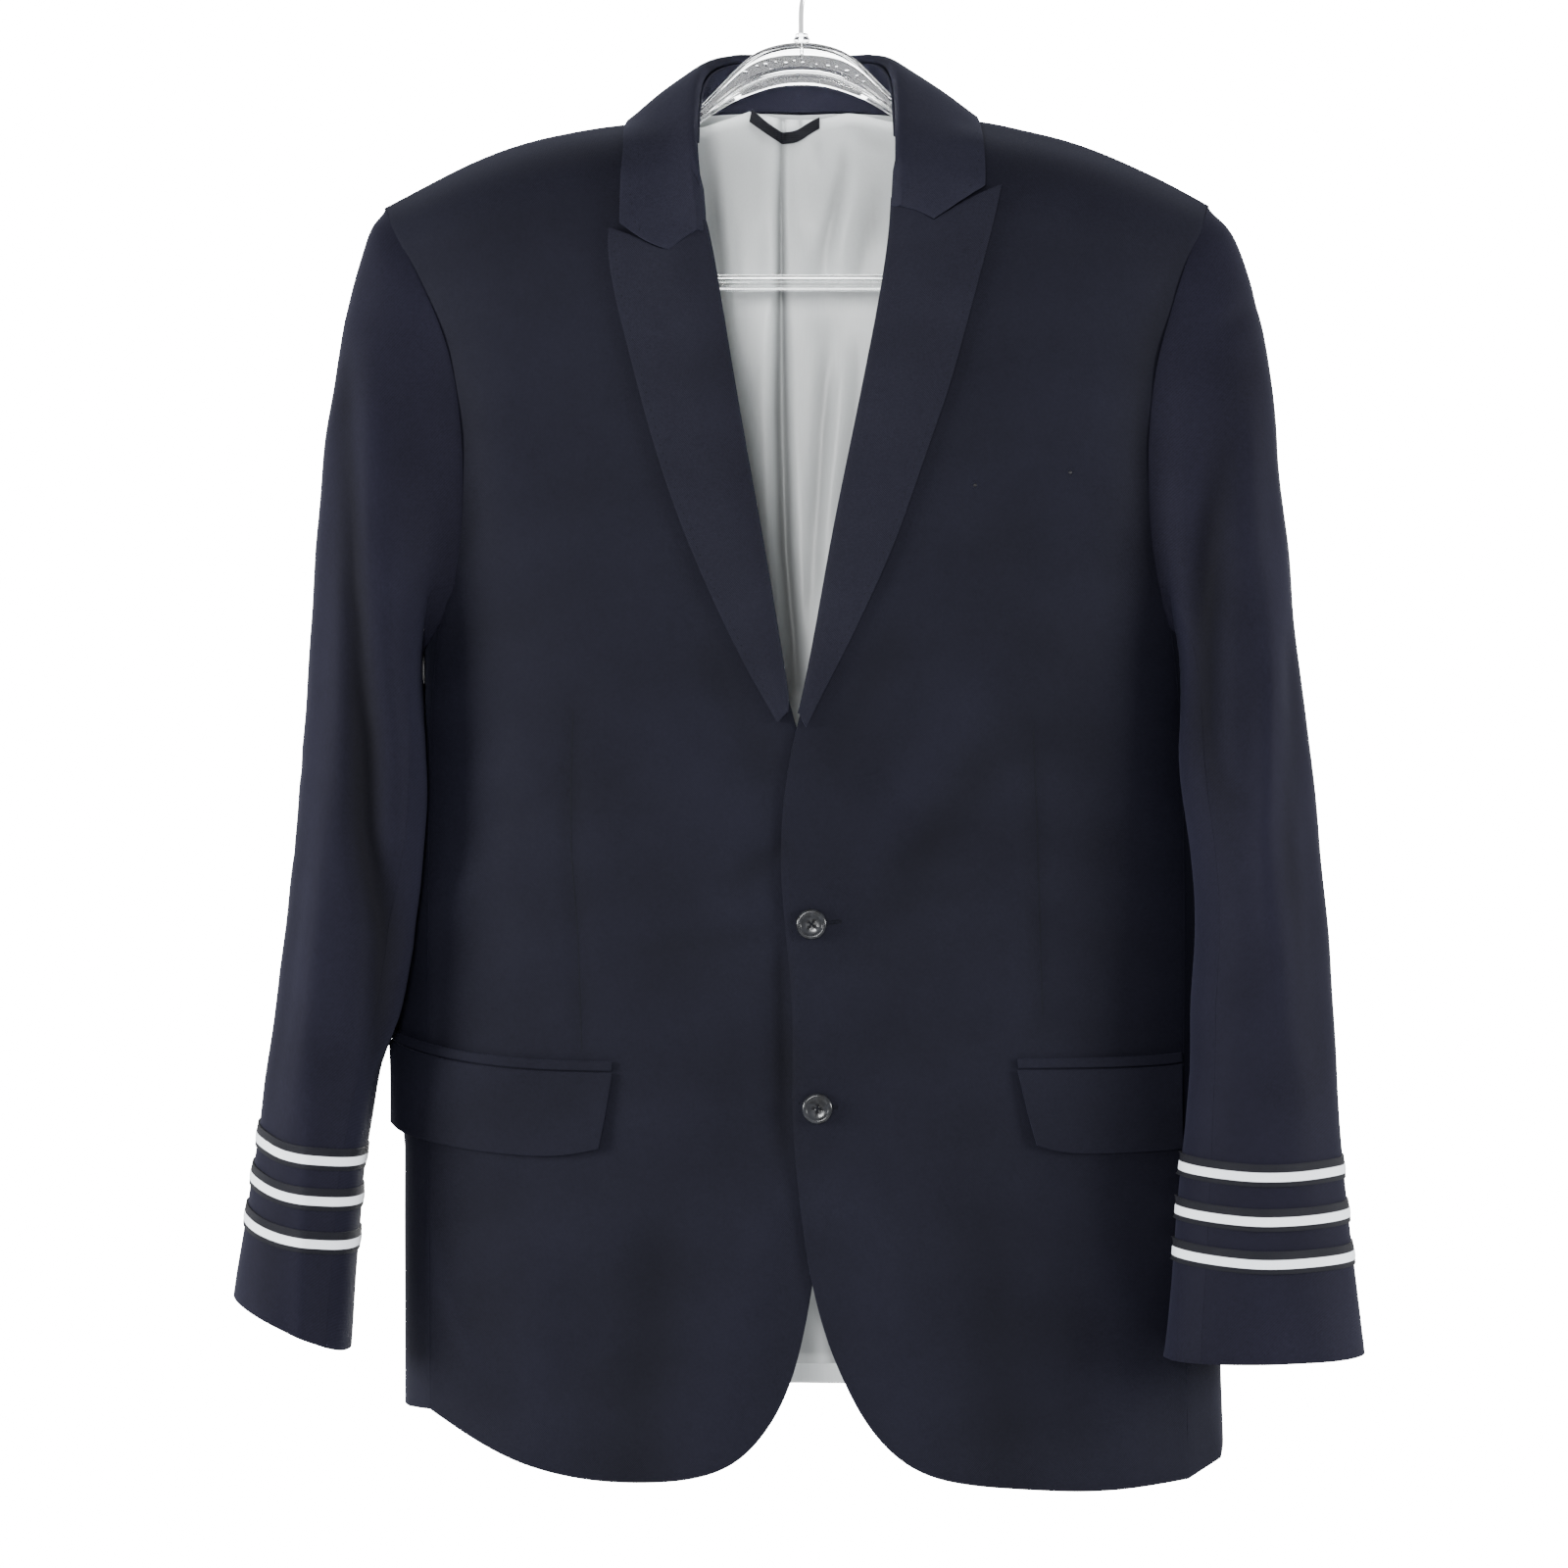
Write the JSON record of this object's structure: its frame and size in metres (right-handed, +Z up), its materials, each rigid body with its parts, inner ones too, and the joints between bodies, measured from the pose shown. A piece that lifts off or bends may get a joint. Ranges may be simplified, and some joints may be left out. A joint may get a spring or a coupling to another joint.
{
  "type": "pilot uniform jacket on a clothes hanger",
  "caption": "Navy single-breasted peak-lapel uniform jacket with silver rank stripes on the cuffs, hung open-necked on a clear plastic hanger.",
  "frame": {"origin": "where the hanger's hook rests on a rail, at the inside top of the hook's bend", "axes": "+Z up, +X towards the image's right, which is the wearer's left, and -Y out of the jacket's front"},
  "size_m": [0.6556, 0.1853, 0.9255],
  "materials": {
    "navy_wool": "matt twill weave",
    "collar_wool": "matt twill weave, pressed",
    "sleeve_wool": "matt twill weave",
    "grey_lining": "smooth satin lining",
    "silver_braid": "woven silver-white lace braid with a navy border",
    "button_resin": "glossy dark resin",
    "loop_tape": "plain woven tape",
    "clear_plastic": "clear moulded plastic",
    "hook_steel": "bright plated steel wire"
  },
  "bodies": {
    "root": {"back_left": "navy_wool", "back_right": "navy_wool", "braid_left_1": "silver_braid", "braid_left_2": "silver_braid", "braid_left_3": "silver_braid", "braid_right_1": "silver_braid", "braid_right_2": "silver_braid", "braid_right_3": "silver_braid", "button_1": "button_resin", "button_2": "button_resin", "collar": "collar_wool", "collar_stand": "collar_wool", "flap_left": "navy_wool", "flap_right": "navy_wool", "front_left": "navy_wool", "front_right": "navy_wool", "hanger_body": "clear_plastic", "hanger_hook": "hook_steel", "jet_left": "navy_wool", "jet_right": "navy_wool", "lapel_left": "collar_wool", "lapel_right": "collar_wool", "lining_back": "grey_lining", "neck_loop": "loop_tape", "side_left": "navy_wool", "side_right": "navy_wool", "top_sleeve_left": "sleeve_wool", "top_sleeve_right": "sleeve_wool", "under_sleeve_left": "sleeve_wool", "under_sleeve_right": "sleeve_wool"}
  },
  "joints": []
}
